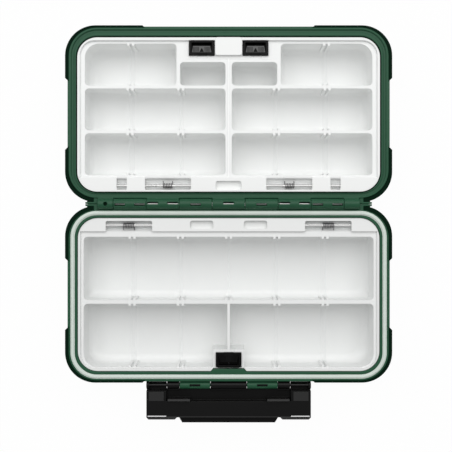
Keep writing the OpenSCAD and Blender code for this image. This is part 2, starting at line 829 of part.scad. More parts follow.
module latch_ears() {
    both_sides() {
        translate([base_knuckle_x[0], latch_y, latch_z]) rotate([0, 90, 0])
            cylinder(r = latch_knuckle_r, h = base_knuckle_x[1] - base_knuckle_x[0]);
        block(base_knuckle_x[0], base_knuckle_x[1], case_reach - wall_inset, latch_y,
              latch_z - latch_knuckle_r, latch_z + latch_pin_r + pin_play);
    }
}

module ear_slots() {
    middle = (base_knuckle_x[0] + base_knuckle_x[1]) / 2;
    both_sides() block(middle - pin_slot_l / 2, middle + pin_slot_l / 2, latch_y - pin_slot_w / 2,
                       latch_y + pin_slot_w / 2, latch_z, half_h);
}

// A profile in (distance out from the pin, height above it), drawn between two X places
module latch_bar(x0, x1, points) {
    translate([x0, latch_y, latch_z]) rotate([90, 0, 90]) linear_extrude(x1 - x0) polygon(points);
}

module latch_box(x0, x1, out0, out1, up0, up1) {
    block(x0, x1, latch_y + out0, latch_y + out1, latch_z + up0, latch_z + up1);
}

// The outer skin seen from above, on one side, with the finger tab
module skin_outline() {
    end_w = latch_w / 2;
    tab_x = tab_w / 2;
    polygon([[0, latch_clear], [end_w, latch_clear], [end_w, plate_reach], [tab_x, plate_reach],
             [tab_x, lip_reach - notch_d], [tab_x - 2 * lip_cut, tab_reach], [0, tab_reach]]);
}

// The raised edge beyond the plate, on one side, with a notch beside the tab
module lip_outline() {
    end_w = latch_w / 2;
    notch_x = tab_w / 2 + notch_w;
    polygon([[0, plate_reach - overlap], [end_w, plate_reach - overlap], [end_w, lip_reach - lip_cut],
             [end_w - lip_cut, lip_reach], [notch_x + notch_d, lip_reach], [notch_x, lip_reach - notch_d],
             [0, lip_reach - notch_d]]);
}

module latch_skin() {
    both_sides() {
        translate([0, latch_y, latch_z - skin_drop]) linear_extrude(skin_t) skin_outline();
        translate([0, latch_y, latch_z + plate_rise - lip_t]) linear_extrude(lip_t) lip_outline();
    }
}

// A knuckle on the latch pin with the neck that joins it to the skin
module latch_knuckle(x0, x1) {
    translate([x0, latch_y, latch_z]) rotate([0, 90, 0]) cylinder(r = latch_knuckle_r, h = x1 - x0);
    latch_box(x0, x1, 0, latch_clear + neck_t, -latch_knuckle_r, -latch_pin_r - pin_play);
    latch_box(x0, x1, latch_clear, latch_clear + neck_t, -skin_drop, -latch_pin_r - pin_play);
}

module main_latch() {
    end_w = latch_w / 2;
    end_x = side_knuckle_end + end_block_gap;
    pad_in = (end_w - end_x - pad_size) / 2;
    color(black) in_base() difference() {
        union() {
            latch_skin();
            // raised plate behind the hooks
            latch_box(-end_w, end_w, hook_reach + hook_t, plate_reach, -skin_drop, plate_rise);
            latch_knuckle(latch_play - base_knuckle_x[0], base_knuckle_x[0] - latch_play);
            both_sides() {
                latch_knuckle(base_knuckle_x[1] + latch_play, side_knuckle_end);
                latch_knuckle(end_w - ear_t, end_w);
                latch_box(end_x, end_w, -skin_back, latch_clear + overlap, -skin_drop, skin_t - skin_drop);
                // end blocks with their grip pads
                latch_box(end_x, end_w, pad_start - pad_edge, plate_reach, -skin_drop, plate_rise);
                latch_box(end_x + pad_in, end_w - pad_in, pad_start, pad_start + pad_l,
                          plate_rise, plate_rise + pad_h);
                // hooks, slanted behind their tips
                latch_bar(hook_x[0], hook_x[1],
                    [[hook_reach, -skin_drop], [hook_reach, hook_rise], [hook_reach + hook_t / 2, hook_rise],
                     [hook_reach + hook_t, hook_rise - hook_t], [hook_reach + hook_t, -skin_drop]]);
            }
        }
        latch_bore(latch_w + 2 * eps);
        // the slit between each end block and its lip
        both_sides() latch_box(end_x, end_w - slit_w, plate_reach, plate_reach + slit_w, 0, big);
    }
}

module main_latch_pin() {
    color(steel) in_base() along_latch_pin(latch_w - 2 * pin_end_in, latch_pin_r);
}

// ---------- trays ----------

// The tray's body, its outer lip and the step that the covers lie in
module tray_blank(side, near, far, body_side, body_far) {
    translate([0, 0, floor_t]) linear_extrude(border_z - floor_t)
        outline(body_side, near, body_far, tray_r - (side - body_side));
    translate([0, 0, border_z - tray_lip_h]) linear_extrude(tray_lip_h) outline(side, near, far, tray_r);
}

// The part of a tray that lies beside the hinge
module strip_zone(end_y) {
    block(-half_w, half_w, 0, end_y, 0, half_h);
}

// A well for a cover's hinge barrels and spring, open to the cover
module window(x0, x1, pin_y, end_y) {
    pocket(x0, x1, pin_y - window_back, end_y - well_wall, well_z, big, window_r);
    pocket(x0, x1, pin_y - window_back, end_y + window_r, tray_z, big, window_r);
}

// The hollow under a hinge strip, open below
module strip_hollow(x, near, end_y) {
    block(-x, x, near + tray_wall, end_y - tray_wall, 0, well_z - tray_floor);
}

module cover_pin_bore(x0, x1, pin_y) {
    both_sides() translate([x0, pin_y, pin_z]) rotate([0, 90, 0])
        cylinder(r = cover_pin_r + pin_play, h = x1 - x0);
}

// Two ribs beside a divider's slot, on the near and far walls of a row
module slot_ribs(x, y0, y1) {
    for (side = [-1, 1]) {
        rib_x = x + side * (divider_t / 2 + divider_play + rib_w / 2);
        for (y = [y0 - overlap, y1 - rib_out])
            block(rib_x - rib_w / 2, rib_x + rib_w / 2, y, y + rib_out + overlap, pocket_z - overlap, tray_z);
    }
}

module base_tray() {
    cover_edge = base_cover_y0;
    body_side = base_x + tray_wall;
    body_far = base_y1 + tray_wall;
    pocket_x = box_w / 2 + box_play;
    house_x = pocket_x + tray_wall;
    house_y = box_y - tray_wall - box_play;
    color(white) in_base() {
        difference() {
            tray_blank(base_side, base_near, base_far, body_side, min(body_far, base_far));
            // step for the cover
            translate([0, 0, tray_z]) linear_extrude(big)
                outline_open(base_cover_x + cover_gap, cover_edge, base_cover_y1 + cover_gap, cover_r + cover_gap);
            // compartments
            for (row = [0, 1]) difference() {
                y0 = base_row_y(row);
                y1 = y0 + base_row_d;
                intersection() {
                    pocket(-base_x, base_x, y0, y1, pocket_z, big, pocket_r);
                    linear_extrude(big) outline(base_x, base_y0 - big, base_y1 + (row == 0 ? big : 0), pocket_outer_r);
                }
                for (i = [1 : base_columns - 1]) if (row == 0 || i != base_columns / 2)
                    slot_ribs(i * base_column_w - base_x, y0, y1);
                if (row == 1) {
                    block(-base_fixed_wall / 2, base_fixed_wall / 2, y0 - overlap, y1, 0, tray_z);
                    block(-house_x, house_x, house_y, y1 + overlap, 0, big);
                }
            }
            strip_zone(cover_edge);
            // latch
            latch_pocket(0);
            translate([0, 0, floor_t - eps]) linear_extrude(pocket_floor_z - floor_t - tray_floor)
                translate([-pocket_x, box_y]) square([2 * pocket_x, base_y1 - box_y]);
            // room for the swelling of the rim
            translate([0, 0, flange_z - tray_gap]) linear_extrude(big) bump(grow = tray_gap);
        }
    }
}

module base_hinge_strip() {
    color(white) in_base() difference() {
        intersection() {
            tray_blank(base_side, base_near, base_far, base_x + tray_wall, base_far);
            strip_zone(base_cover_y0);
        }
        both_sides() {
            window(base_window_x[0], base_window_x[1], base_pin_y, base_cover_y0);
            pocket(base_slot[0], base_slot[1], base_near + base_slot[2], base_near + base_slot[3],
                   border_z - slot_depth, big, slot_r);
        }
        cover_pin_bore(base_pin_x0, base_pin_x1, base_pin_y);
        strip_hollow(base_side - tray_r, base_near, base_cover_y0);
    }
}

module outline_open(w, y0, y1, r) {
    translate([-w, y0]) square([2 * w, y1 - y0 - r]);
    translate([-w + r, y0]) square([2 * (w - r), y1 - y0]);
    for (x = [-w + r, w - r]) translate([x, y1 - r]) circle(r = r);
}

// The pocket that holds a latch housing
module latch_pocket(x) {
    r = box_w / 2 + box_play;
    block(x - r, x + r, box_y - box_play, box_end + box_play, pocket_floor_z, big);
}

module lid_tray() {
    body_side = lid_x + tray_wall;
    body_far = lid_y1 + tray_wall;
    cover_edge = lid_cover_y0;
    small_y = lid_row_y(2) + lid_small_d;
    hollow_x = lid_small_w - tray_wall;
    color(white) in_lid() difference() {
        union() {
            tray_blank(lid_side, lid_near, lid_far, body_side, body_far);
            // the raised white block between the latches
            pocket(-block_half_w, block_half_w, box_y, lid_far, border_z - tray_lip_h, rim_z - block_drop, block_r);
        }
        // step for the covers
        difference() {
            translate([0, 0, tray_z]) linear_extrude(big)
                outline_open(lid_cover_x + cover_gap, cover_edge, lid_cover_y1 + cover_gap, cover_r + cover_gap);
            block(-block_half_w, block_half_w, box_y, lid_far, 0, big);
        }
        // compartments
        both_sides() {
            for (row = [0, 1]) difference() {
                y0 = lid_row_y(row);
                y1 = y0 + lid_row_d;
                pocket(lid_centre_x, lid_x, y0, y1, pocket_z, big, pocket_r);
                for (x = lid_divider_x) slot_ribs(x, y0, y1);
            }
            difference() {
                y0 = lid_row_y(2);
                y1 = y0 + lid_row_d;
                intersection() {
                    pocket(lid_big_x, lid_x, y0, y1, pocket_z, big, pocket_r);
                    linear_extrude(big) outline(lid_x, 0, lid_y1, pocket_outer_r);
                }
                slot_ribs((lid_big_x + lid_x) / 2, y0, y1);
            }
            pocket(lid_centre_x, lid_small_w, lid_row_y(2), small_y, pocket_z, big, pocket_r);
        }
        strip_zone(cover_edge);
        // latches, over a hollow that is open below
        for (side = [-1, 1]) latch_pocket(side * lid_latch_x);
        block(-hollow_x, hollow_x, small_y + tray_wall, lid_y1, 0, pocket_floor_z - tray_floor);
    }
}

module lid_hinge_strip() {
    color(white) in_lid() difference() {
        intersection() {
            tray_blank(lid_side, lid_near, lid_far, lid_x + tray_wall, lid_y1 + tray_wall);
            strip_zone(lid_cover_y0);
        }
        both_sides() {
            window(lid_window_x[0], lid_window_x[1], lid_pin_y, lid_cover_y0);
            window(lid_small_window_x[0], lid_small_window_x[1], lid_pin_y, lid_cover_y0);
        }
        pocket(-lid_slot[0], lid_slot[0], lid_near + lid_slot[1], lid_near + lid_slot[2],
               border_z - slot_depth, big, slot_r);
        cover_pin_bore(lid_pin_x0, lid_pin_x1, lid_pin_y);
        strip_hollow(lid_side - tray_r, lid_near, lid_cover_y0);
    }
}

// ---------- dividers ----------

module divider(x, y0, y1) {
    color(clear) block(x - divider_t / 2, x + divider_t / 2, y0 + divider_play, y1 - divider_play,
                       pocket_z, divider_z);
}

// Places of the dividers as [x, row]
base_divider_places = [for (row = [0, 1], i = [1 : base_columns - 1])
    if (row == 0 || i != base_columns / 2) [i * base_column_w - base_x, row]];
lid_big_middle = (lid_big_x + lid_x) / 2;
lid_divider_places = [for (row = [0, 1], x = [-lid_divider_x[1], -lid_divider_x[0], lid_divider_x[0],
                                               lid_divider_x[1]]) [x, row],
                      [-lid_big_middle, 2], [lid_big_middle, 2]];

module base_divider(i) {
    place = base_divider_places[i - 1];
    in_base() divider(place[0], base_row_y(place[1]), base_row_y(place[1]) + base_row_d);
}

module lid_divider(i) {
    place = lid_divider_places[i - 1];
    in_lid() divider(place[0], lid_row_y(place[1]), lid_row_y(place[1]) + lid_row_d);
}

// ---------- covers ----------

// A hinge lug: a barrel on the pin and the plate that joins it to the cover
module lug(x0, x1, pin_y, end_y) {
    translate([x0, pin_y, pin_z]) rotate([0, 90, 0]) cylinder(r = barrel_r, h = x1 - x0);
    block(x0, x1, pin_y, end_y, cover_z, border_z);
}

// The keeper that the latch's tongue holds, with its slot
module keeper_slot(x) {
    block(x - keeper_slot_w / 2, x + keeper_slot_w / 2, keeper_y - keeper_bar - keeper_slot_d,
          keeper_y - keeper_bar, 0, big);
}

module base_cover() {
    y0 = base_cover_y0 + cover_gap;
    notch_x = box_w / 2 + keeper_side_gap;
    spring_half = (base_curls * curl_pitch) / 2 + wire_r + spring_gap;
    lugs = [[base_window_x[0] + barrel_play, base_spring_x - spring_half],
            [base_spring_x + spring_half, base_window_x[1] - barrel_play]];
    color(clear) in_base() difference() {
        union() {
            translate([0, 0, cover_z]) linear_extrude(cover_t) difference() {
                outline_open(base_cover_x, y0, base_cover_y1, cover_r);
                translate([-notch_x, cover_cut_y]) square([2 * notch_x, big]);
            }
            block(-keeper_w / 2, keeper_w / 2, cover_cut_y - overlap, keeper_y, cover_z, border_z);
            for (l = lugs) both_sides() lug(l[0], l[1], base_pin_y, y0 + overlap);
        }
        cover_pin_bore(base_pin_x0, base_pin_x1, base_pin_y);
        keeper_slot(0);
    }
}

module lid_cover(side) {
    y0 = lid_cover_y0 + cover_gap;
    spring_half = (lid_curls * curl_pitch) / 2 + wire_r + spring_gap;
    lugs = [[lid_window_x[0] + barrel_play, lid_spring_x - spring_half],
            [lid_spring_x + spring_half, lid_window_x[1] - barrel_play],
            [lid_small_window_x[0] + barrel_play, lid_small_window_x[1] - barrel_play]];
    color(clear) in_lid() mirror([side < 0 ? 1 : 0, 0, 0]) difference() {
        union() {
            translate([0, 0, cover_z]) linear_extrude(cover_t) difference() {
                outline_open(lid_cover_x, y0, lid_cover_y1, cover_r);
                translate([-big, 0]) square([big + cover_split / 2, big]);
                translate([0, cover_cut_y]) square([cover_step_x, big]);
            }
            block(lid_latch_x - keeper_w / 2, lid_latch_x + keeper_w / 2, cover_cut_y - overlap, keeper_y,
                  cover_z, border_z);
            for (l = lugs) lug(l[0], l[1], lid_pin_y, y0 + overlap);
        }
        cover_pin_bore(lid_pin_x0, lid_pin_x1, lid_pin_y);
        keeper_slot(lid_latch_x);
    }
}

module cover_pin(x0, x1, pin_y) {
    color(steel) translate([x0, pin_y, pin_z]) rotate([0, 90, 0]) cylinder(r = cover_pin_r, h = x1 - x0);
}

module base_cover_pin() {
    cover_pin(base_pin_x0 + pin_end_in, base_pin_x1 - pin_end_in, base_pin_y);
}

module lid_cover_pin() {
    cover_pin(lid_pin_x0 + pin_end_in, lid_pin_x1 - pin_end_in, lid_pin_y);
}

// ---------- springs ----------

rings = 8;
tube_sides = 6;

// Points of a torsion spring round its pin: a leg, the curls and a second leg
function torsion_path(x, y, curls) = let (
    x0 = x - curls * curl_pitch / 2,
    first = [for (t = [3 : -1 : 1]) [x0, y + leg_l * t / 3, pin_z - coil_r]],
    last = [for (t = [1 : 3]) [x + curls * curl_pitch / 2 + curl_pitch / 2, y + leg_l * t / 3, pin_z + coil_r]]
) concat(first,
    [for (i = [0 : rings * (curls + 0.5)]) let (a = 270 - i * 360 / rings)
        [x0 + i * curl_pitch / rings, y + coil_r * cos(a), pin_z + coil_r * sin(a)]],
    last);

// Points of a return spring along Y
function return_path(x, y0, y1, curls) = [for (i = [0 : rings * curls]) let (a = i * 360 / rings)
    [x + return_coil_r * cos(a), y0 + (y1 - y0) * i / (rings * curls), spring_z + return_coil_r * sin(a)]];

function unit(v) = v / norm(v);
function heading(p, i) = unit(p[min(i + 1, len(p) - 1)] - p[max(i - 1, 0)]);

// One unbroken tube along points, its rings set square to the path about a fixed guide direction
module tube(p, r, guide) {
    n = len(p);
    points = [for (i = [0 : n - 1]) let (t = heading(p, i), u = unit(cross(t, guide)), v = cross(t, u))
        for (k = [0 : tube_sides - 1]) let (a = k * 360 / tube_sides) p[i] + r * (cos(a) * u + sin(a) * v)];
    ends = [p[0], p[n - 1]];
    all = concat(points, ends);
    start = len(points);
    walls = [for (i = [0 : n - 2], k = [0 : tube_sides - 1]) let (
        a = i * tube_sides + k, b = i * tube_sides + (k + 1) % tube_sides, c = a + tube_sides, d = b + tube_sides)
        each [[a, b, c], [b, d, c]]];
    caps = [for (k = [0 : tube_sides - 1]) let (k2 = (k + 1) % tube_sides, last = (n - 1) * tube_sides)
        each [[start, k2, k], [start + 1, last + k, last + k2]]];
    polyhedron(all, concat(walls, caps));
}

// Least distance between curls of one path, less the wire: points over half a curl apart count
function self_gap(p, r) = min([for (i = [0 : len(p) - 1], j = [i + rings - 2 : 1 : len(p) - 1])
    if (j < len(p)) norm(p[i] - p[j])]) - 2 * r;

module torsion_spring(x, y, curls) {
    p = torsion_path(x, y, curls);
    echo("torsion spring least gap", self_gap(p, wire_r));
    color(steel) tube(p, wire_r, [1, 0, 0]);
}

module return_spring(x) {
    p = return_path(x, foot_end + return_wire_r + return_gap, box_inner_end - return_wire_r - return_gap,
                    return_curls);
    echo("return spring least gap", self_gap(p, return_wire_r));
    color(steel) tube(p, return_wire_r, [0, 1, 0]);
}

// ---------- inner latches ----------

module latch_housing(x) {
    w = box_w / 2;
    inner = slider_w / 2 + slider_play;
    color(black) translate([x, 0, 0]) difference() {
        translate([0, 0, box_floor]) linear_extrude(box_h)
            polygon([[-w, box_y], [w, box_y], [w, box_end - box_chamfer], [w - box_chamfer, box_end],
                     [box_chamfer - w, box_end], [-w, box_end - box_chamfer]]);
        block(-inner, inner, box_y + box_wall, box_inner_end, box_floor + box_wall, big);
        // mouth for the tongue
        block(-tongue_w / 2 - slider_play, tongue_w / 2 + slider_play, 0, box_y + box_wall + overlap,
              pad_top - tongue_t - slider_play, big);
    }
}

module latch_slider(x) {
    w = slider_w / 2;
    color(grey) translate([x, 0, 0]) difference() {
        union() {
            translate([0, 0, pad_top - pad_t]) linear_extrude(pad_t)
                polygon([[-w, pad_y], [w, pad_y], [w - slider_taper, pad_y + pad_d], [slider_taper - w, pad_y + pad_d]]);
            block(slider_taper - w, w - slider_taper, pad_y, foot_end, box_floor + box_wall + slider_play,
                  pad_top - pad_t + overlap);
            block(-tongue_w / 2, tongue_w / 2, tongue_y, pad_y + overlap, pad_top - tongue_t, pad_top);
        }
        // grip grooves on both sides of the arrow
        both_sides() for (i = [0 : grip_count - 1]) let (gx = grip_start + i * grip_pitch)
            block(gx, gx + grip_w, pad_y + grip_in, pad_y + pad_d - grip_in, pad_top - grip_depth, big);
        // arrow that points to the open side
        translate([0, 0, pad_top - grip_depth]) linear_extrude(overlap)
            polygon([[-arrow_w / 2, pad_y + grip_in], [arrow_w / 2, pad_y + grip_in],
                     [0, pad_y + grip_in + arrow_l]]);
    }
}

// ---------- what is drawn ----------

base_shell();
lid_shell();
base_corner_guards();
lid_corner_guards();
seal();
hinge_pin();
main_latch();
main_latch_pin();
base_tray();
lid_tray();
base_hinge_strip();
lid_hinge_strip();
base_cover();
in_base() mirror([1, 0, 0]) base_cover_pin();  // base_cover_pin_left
in_base() base_cover_pin();  // base_cover_pin_right
lid_cover(-1);  // lid_cover_left
lid_cover(1);  // lid_cover_right
in_lid() mirror([1, 0, 0]) lid_cover_pin();  // lid_cover_pin_left
in_lid() lid_cover_pin();  // lid_cover_pin_right
in_base() mirror([1, 0, 0]) torsion_spring(base_spring_x, base_pin_y, base_curls);  // base_torsion_spring_left
in_base() torsion_spring(base_spring_x, base_pin_y, base_curls);  // base_torsion_spring_right
in_lid() mirror([1, 0, 0]) torsion_spring(lid_spring_x, lid_pin_y, lid_curls);  // lid_torsion_spring_left
in_lid() torsion_spring(lid_spring_x, lid_pin_y, lid_curls);  // lid_torsion_spring_right
in_base() latch_housing(0);  // base_latch_housing
in_base() latch_slider(0);  // base_latch_slider
in_base() return_spring(0);  // base_latch_spring
in_lid() latch_housing(-lid_latch_x);  // lid_latch_housing_left
in_lid() latch_slider(-lid_latch_x);  // lid_latch_slider_left
in_lid() return_spring(-lid_latch_x);  // lid_latch_spring_left
in_lid() latch_housing(lid_latch_x);  // lid_latch_housing_right
in_lid() latch_slider(lid_latch_x);  // lid_latch_slider_right
in_lid() return_spring(lid_latch_x);  // lid_latch_spring_right
for (i = [1 : 9]) base_divider(i);
for (i = [1 : 10]) lid_divider(i);
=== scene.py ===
"""Looks of the two-sided waterproof lure box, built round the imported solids.

The script is laid out as an add-on. Each operator dresses one group of pieces, and main() calls
them in order. Shapes are worked out in millimetres in the half frame of the part: X along the case
hinge, Y away from the hinge axis, Z up. The lid keeps that frame and the base is its mirror image
in Y. Lengths in materials and on the stage are in metres.
"""

import math

import bpy
import numpy as np
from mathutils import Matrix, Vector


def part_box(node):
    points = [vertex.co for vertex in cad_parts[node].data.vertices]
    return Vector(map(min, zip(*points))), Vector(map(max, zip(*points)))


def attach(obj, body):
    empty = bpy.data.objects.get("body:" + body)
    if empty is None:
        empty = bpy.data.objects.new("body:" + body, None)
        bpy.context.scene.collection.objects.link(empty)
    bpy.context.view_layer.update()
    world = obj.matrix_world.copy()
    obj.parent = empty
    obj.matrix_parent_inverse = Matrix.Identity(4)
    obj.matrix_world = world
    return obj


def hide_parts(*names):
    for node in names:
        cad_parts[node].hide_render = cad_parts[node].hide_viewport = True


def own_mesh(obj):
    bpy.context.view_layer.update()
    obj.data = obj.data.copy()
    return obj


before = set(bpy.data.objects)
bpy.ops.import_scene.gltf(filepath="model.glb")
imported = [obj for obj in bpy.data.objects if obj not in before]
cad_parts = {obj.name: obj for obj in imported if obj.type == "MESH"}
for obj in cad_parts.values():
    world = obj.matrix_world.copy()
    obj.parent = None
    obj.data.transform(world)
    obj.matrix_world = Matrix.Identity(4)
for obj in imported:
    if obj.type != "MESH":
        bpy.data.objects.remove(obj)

bl_info = {
    "name": "Lure Box Looks",
    "version": (1, 0, 0),
    "blender": (4, 5, 0),
    "location": "View3D > Sidebar > Lure Box",
    "description": "Materials, seal, springs, dividers and stage of a two-sided lure box",
    "category": "Object",
}

MM = 0.001

# ---------- sizes of the part, as in its source, in millimetres ----------

# Case: hinge axis, half width, the rim's hinge-side and front ends, its corners and its height
AXIS_Y = sum(v[1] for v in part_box("hinge_pin")) / 2 / MM
HALF_W, RIM_START, REACH, CORNER_R, RIM_Z = 104.45, 3.9, 115.0, 19.0, 29.4

# Compartments: height of the floors, corner radii, ends along X and rows along Y
POCKET_Z, POCKET_R, POCKET_OUTER_R = 4.0, 2.5, 9.0
LID_CENTRE, LID_SMALL, LID_BIG, LID_X = 2.1, 31.6, 34.0, 93.5
LID_ROWS, LID_SMALL_END = [(18.8, 45.967), (47.967, 75.133), (77.133, 104.3)], 92.333
BASE_CENTRE, BASE_X = 0.9, 94.3
BASE_ROWS = [(21.4, 62.6), (65.0, 106.2)]

# Inner covers: their pins, and the barrels round the pins
LID_PIN_Y, BASE_PIN_Y, PIN_Z, BARREL_R = 11.9, 13.9, 26.5, 2.3

# Latches: where the main latch's pads and lips start, the heights above which its lips, pads and
# hooks are lighter (over the first height the whole top of the plate gets a painted highlight, and
# the hooks' lighter tops are a painted highlight), where the sliders' grey starts, how deep it
# goes, and the sliders' travel
PAD_Y, LIP_Y = 121.2, 138.2
LIP_AND_HIGHLIGHT_Z, PAD_Z, HOOK_HIGHLIGHT_Z = 27.3, 27.85, 28.3
SLIDER_Y, SLIDER_SKIN, SLIDER_TRAVEL = 98.6, 0.15, 2.0

# Springs: place along X, pin and curls of each half's torsion springs, their coil, wire, pitch and
# legs; coil, wire and curls of the return springs; and the points on one curl
TORSION_SPRINGS = {"base": (64.6, BASE_PIN_Y, 6), "lid": (39.3, LID_PIN_Y, 5)}
COIL_R, WIRE_R, CURL_PITCH, LEG = 1.5, 0.3, 1.05, 3.1
RETURN_COIL_R, RETURN_WIRE_R, RETURN_CURLS = 0.7, 0.15, 5
CURL_POINTS = 28

# ---------- sizes of the dressing ----------

# Seal: its outer edge inside the rim's side, hinge side and front; its width, depth and bevel; and
# half the width of its bead
SEAL_SIDE, SEAL_HINGE, SEAL_FRONT = 1.85, 0.6, 1.6
SEAL_W, SEAL_DEPTH, SEAL_BEVEL, BEAD_HALF_W = 2.8, 3.0, 0.15, 0.9

# Scoops: how far they run into wall and floor, how far past the rounding, how deep their backs
# lie, and the share of the radius that the small compartments have
SCOOP_SINK, SCOOP_TOE, SCOOP_BACK, SCOOP_SMALL = 0.05, 0.4, 0.6, 0.8

# Dividers: gap under their feet, corner radius at the top, and rounding of the rims
DIVIDER_LIFT, DIVIDER_TOP_R, DIVIDER_RIM = 0.06, 0.8, 0.2

# How much less clear the barrels are than the rest of a cover
BARREL_HAZE = 0.06

# Stage, in metres: the floor, how much of it glows white, the lamp and the camera's sensor in mm
FLOOR_HALF, FLOOR_Z, FLOOR_GLOW = 3.0, -0.0003, 0.97
LAMP_Y, LAMP_Z, LAMP_W, LAMP_H = 0.85, 1.47, 2.4, 1.6
SENSOR = 36
FLOOR_TONE, WHITE = (0.86, 0.87, 0.87, 1), (1, 1, 1, 1)

# A place along Y that lies past the part, in metres
FAR = 1.0


def linear(r, g, b):
    """Linear colour of an 8-bit sRGB one."""
    return tuple(
        ((c / 255 + 0.055) / 1.055) ** 2.4 if c > 10 else c / 255 / 12.92 for c in (r, g, b))


# ---------- settings ----------


def colour(name, default, text):
    """A colour setting."""
    return bpy.props.FloatVectorProperty(
        name=name, description=text, subtype="COLOR", size=3, min=0, max=1, default=default)


class BoxColours(bpy.types.PropertyGroup):
    """Colours of the box's plastics and metal."""

    shell: colour("Shell", (0.013, 0.077, 0.036), "Green of both shells")
    guard: colour("Guards", (0.002, 0.013, 0.006), "Very dark green of the corner guards")
    seal: colour("Seal", linear(212, 222, 214), "Pale green rubber of the seal")
    lid_tray: colour("Lid tray", linear(244, 245, 244), "White of the lid's tray")
    # The base's tray is the same white plastic as the lid's, set a little darker as painted shade.
    base_tray: colour("Base tray", linear(236, 237, 236), "White of the base's tray")
    clear: colour("Clear plastic", linear(236, 240, 241), "Tint of covers and dividers")
    latch: colour("Latches", (0.0012, 0.0012, 0.0012), "Black of main latch and latch housings")
    pad: colour("Pads", linear(44, 44, 44), "Dark grey of the main latch's grip pads")
    # Hooks: painted highlight on their tops.
    hook_highlight: colour("Hooks", linear(60, 60, 60), "Grey sheen on the main latch's hooks")
    # Plate: painted highlight over the tops of the main latch.
    plate: colour("Plate", linear(13, 13, 13), "Sheen on the main latch's raised plate")
    # Lips: a lighter grey laid over their tops.
    lip: colour("Lips", linear(50, 50, 50), "Dark grey of the main latch's lips")
    lid_slider: colour("Lid sliders", linear(98, 98, 98), "Grey of the sliders in the lid")
    base_slider: colour("Base slider", linear(44, 44, 44), "Dark grey of the slider in the base")
    steel: colour("Pins", (0.62, 0.61, 0.60), "Steel of the hinge pins")
    # The latch pin's dark tone is painted shade of the recess it lies in.
    latch_pin: colour("Latch pin", (0.03, 0.03, 0.03), "Dark steel of the main latch's pin")
    spring: colour("Springs", (0.20, 0.20, 0.21), "Spring steel")


class BoxSizes(bpy.types.PropertyGroup):
    """Sizes of what is added to the solids."""

    scoop: bpy.props.FloatProperty(
        name="Scoop radius", description="Rounding at the foot of the compartments' walls",
        default=5.0 * MM, min=1.0 * MM, max=8.0 * MM, unit="LENGTH")
    bead: bpy.props.FloatProperty(
        name="Bead height", description="Height of the seal's rounded bead above the rim",
        default=0.6 * MM, min=0.3 * MM, max=0.7 * MM, unit="LENGTH")
    edge: bpy.props.FloatProperty(
        name="Edge rounding", description="Rounding that moulded edges show",
        default=0.5 * MM, min=0.1 * MM, max=1.5 * MM, unit="LENGTH")


class StageSettings(bpy.types.PropertyGroup):
    """Camera and light."""

    camera: bpy.props.FloatVectorProperty(
        name="Camera", subtype="TRANSLATION", default=(-0.0017, -0.0143, 0.5895),
        description="Place of the camera over the hinge axis; it looks straight down")
    lens: bpy.props.FloatProperty(
        name="Lens", description="Focal length on a 36 mm sensor", default=68.8, min=20, max=200)
    key: bpy.props.FloatProperty(
        name="Key lamp", description="Power of the lamp on the lid's side", default=24.0, min=0,
        max=200, unit="POWER")
    sky: bpy.props.FloatProperty(
        name="Sky", description="Strength of the even light from all round", default=0.44, min=0,
        max=2)


def colours():
    return bpy.context.scene.box_colours


def sizes():
    return bpy.context.scene.box_sizes


# ---------- shader maths ----------


class Value:
    """An output socket in shader maths. Each operator adds one Math node."""

    def __init__(self, nodes, socket):
        self.nodes, self.socket = nodes, socket

    def maths(self, operation, other, clamp=False):
        settings = {"operation": operation, "use_clamp": clamp}
        return self.nodes.add("ShaderNodeMath", settings, {0: self, 1: other})

    def __add__(self, other):
        return self.maths("ADD", other)

    def __mul__(self, other):
        return self.maths("MULTIPLY", other)

    def __rsub__(self, other):
        return self.nodes.add("ShaderNodeMath", {"operation": "SUBTRACT"}, {0: other, 1: self})

    __radd__, __rmul__ = __add__, __mul__

    def held(self):
        """Held between 0 and 1."""
        return self.maths("ADD", 0.0, clamp=True)


